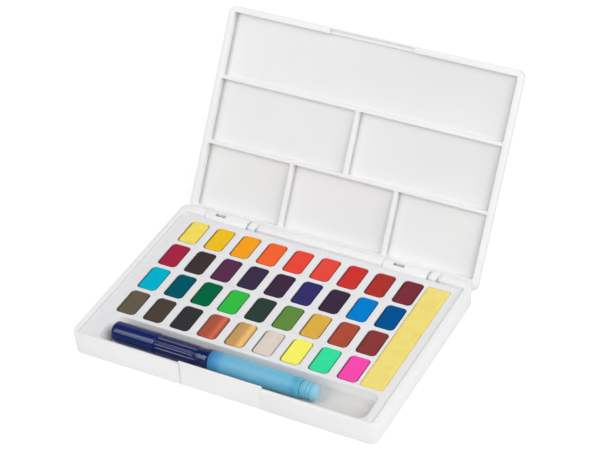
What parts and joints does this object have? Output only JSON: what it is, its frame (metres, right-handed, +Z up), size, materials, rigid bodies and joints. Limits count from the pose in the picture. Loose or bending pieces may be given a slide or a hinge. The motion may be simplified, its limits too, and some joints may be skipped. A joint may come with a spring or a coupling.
{
  "type": "watercolor pan set",
  "caption": "Hinged white box with a lift-out tray of watercolor pans, a sponge and a water brush; the open lid is a mixing palette with wells.",
  "frame": {"origin": "centre of the base's flat underside", "axes": "+Z up, +Y towards the hinge, +X to the right seen from the front"},
  "size_m": [0.23, 0.2491, 0.1364],
  "materials": {
    "case_plastic": "satin white moulded plastic",
    "cup_plastic": "white moulded plastic",
    "sponge_foam": "soft yellow foam with fine pores",
    "cap_plastic": "glossy dark blue",
    "grip_plastic": "glossy dark blue, fluted",
    "holder_plastic": "clear pale blue",
    "bristles": "fine synthetic hair",
    "connector_plastic": "mid blue",
    "barrel_plastic": "translucent light blue, squeezable",
    "plug_plastic": "translucent light blue",
    "paint_lemon": "matte dried watercolour",
    "paint_cadmium_yellow": "matte dried watercolour",
    "paint_orange_yellow": "matte dried watercolour",
    "paint_orange": "matte dried watercolour",
    "paint_scarlet": "matte dried watercolour",
    "paint_red": "matte dried watercolour",
    "paint_crimson": "matte dried watercolour",
    "paint_madder": "matte dried watercolour",
    "paint_wine": "matte dried watercolour",
    "paint_magenta": "matte dried watercolour",
    "paint_sepia_violet": "matte dried watercolour",
    "paint_violet": "matte dried watercolour",
    "paint_indigo": "matte dried watercolour",
    "paint_dark_violet": "matte dried watercolour",
    "paint_ultramarine": "matte dried watercolour",
    "paint_prussian": "matte dried watercolour",
    "paint_sky_blue": "matte dried watercolour",
    "paint_cobalt": "matte dried watercolour",
    "paint_turquoise": "matte dried watercolour",
    "paint_teal": "matte dried watercolour",
    "paint_viridian": "matte dried watercolour",
    "paint_leaf_green": "matte dried watercolour",
    "paint_hooker_green": "matte dried watercolour",
    "paint_olive": "matte dried watercolour",
    "paint_ochre": "matte dried watercolour",
    "paint_sienna": "matte dried watercolour",
    "paint_burnt_umber": "matte dried watercolour",
    "paint_grey_umber": "matte dried watercolour",
    "paint_raw_umber": "matte dried watercolour",
    "paint_black": "matte dried watercolour",
    "paint_copper": "pearly dried watercolour",
    "paint_gold": "pearly dried watercolour",
    "paint_pearl": "pearly dried watercolour",
    "paint_neon_yellow": "bright matte dried watercolour",
    "paint_neon_green": "bright matte dried watercolour",
    "paint_neon_pink": "bright matte dried watercolour"
  },
  "bodies": {
    "base": {"base_case": "case_plastic"},
    "lid": {"lid_palette": "case_plastic"},
    "tray": {"insert_tray": "case_plastic", "pan_cups": "cup_plastic", "paint_lemon": "paint_lemon", "paint_cadmium_yellow": "paint_cadmium_yellow", "paint_orange_yellow": "paint_orange_yellow", "paint_orange": "paint_orange", "paint_scarlet": "paint_scarlet", "paint_red": "paint_red", "paint_crimson": "paint_crimson", "paint_madder": "paint_madder", "paint_wine": "paint_wine", "paint_magenta": "paint_magenta", "paint_sepia_violet": "paint_sepia_violet", "paint_violet": "paint_violet", "paint_indigo": "paint_indigo", "paint_dark_violet": "paint_dark_violet", "paint_ultramarine": "paint_ultramarine", "paint_prussian": "paint_prussian", "paint_sky_blue": "paint_sky_blue", "paint_cobalt": "paint_cobalt", "paint_turquoise": "paint_turquoise", "paint_teal": "paint_teal", "paint_viridian": "paint_viridian", "paint_leaf_green": "paint_leaf_green", "paint_hooker_green": "paint_hooker_green", "paint_olive": "paint_olive", "paint_ochre": "paint_ochre", "paint_sienna": "paint_sienna", "paint_burnt_umber": "paint_burnt_umber", "paint_grey_umber": "paint_grey_umber", "paint_raw_umber": "paint_raw_umber", "paint_black": "paint_black", "paint_copper": "paint_copper", "paint_gold": "paint_gold", "paint_pearl": "paint_pearl", "paint_neon_yellow": "paint_neon_yellow", "paint_neon_green": "paint_neon_green", "paint_neon_pink": "paint_neon_pink"},
    "sponge": {"sponge": "sponge_foam"},
    "cap": {"brush_cap": "cap_plastic"},
    "grip": {"brush_grip": "grip_plastic", "brush_nib_holder": "holder_plastic", "brush_bristles": "bristles", "brush_connector": "connector_plastic"},
    "barrel": {"brush_barrel": "barrel_plastic", "brush_end_plug": "plug_plastic"}
  },
  "joints": [
    {"name": "lid_hinge", "type": "hinge", "parent": "base", "child": "lid", "pos_m": [0, 0.0758, 0.012], "axis": [-1, 0, 0], "range_deg": [-123.84, 11]},
    {"name": "tray_lift", "type": "slide", "parent": "base", "child": "tray", "axis": [0, 0, 1], "range_m": [0, 0.03]},
    {"name": "brush_lift", "type": "slide", "parent": "tray", "child": "cap", "axis": [0, 0, 1], "range_m": [0, 0.025]},
    {"name": "brush_uncap", "type": "slide", "parent": "cap", "child": "grip", "axis": [1, 0, 0], "range_m": [0, 0.032]},
    {"name": "barrel_pull", "type": "slide", "parent": "grip", "child": "barrel", "axis": [1, 0, 0], "range_m": [0, 0.02]},
    {"name": "sponge_lift", "type": "slide", "parent": "tray", "child": "sponge", "axis": [0, 0, 1], "range_m": [0, 0.025]}
  ]
}
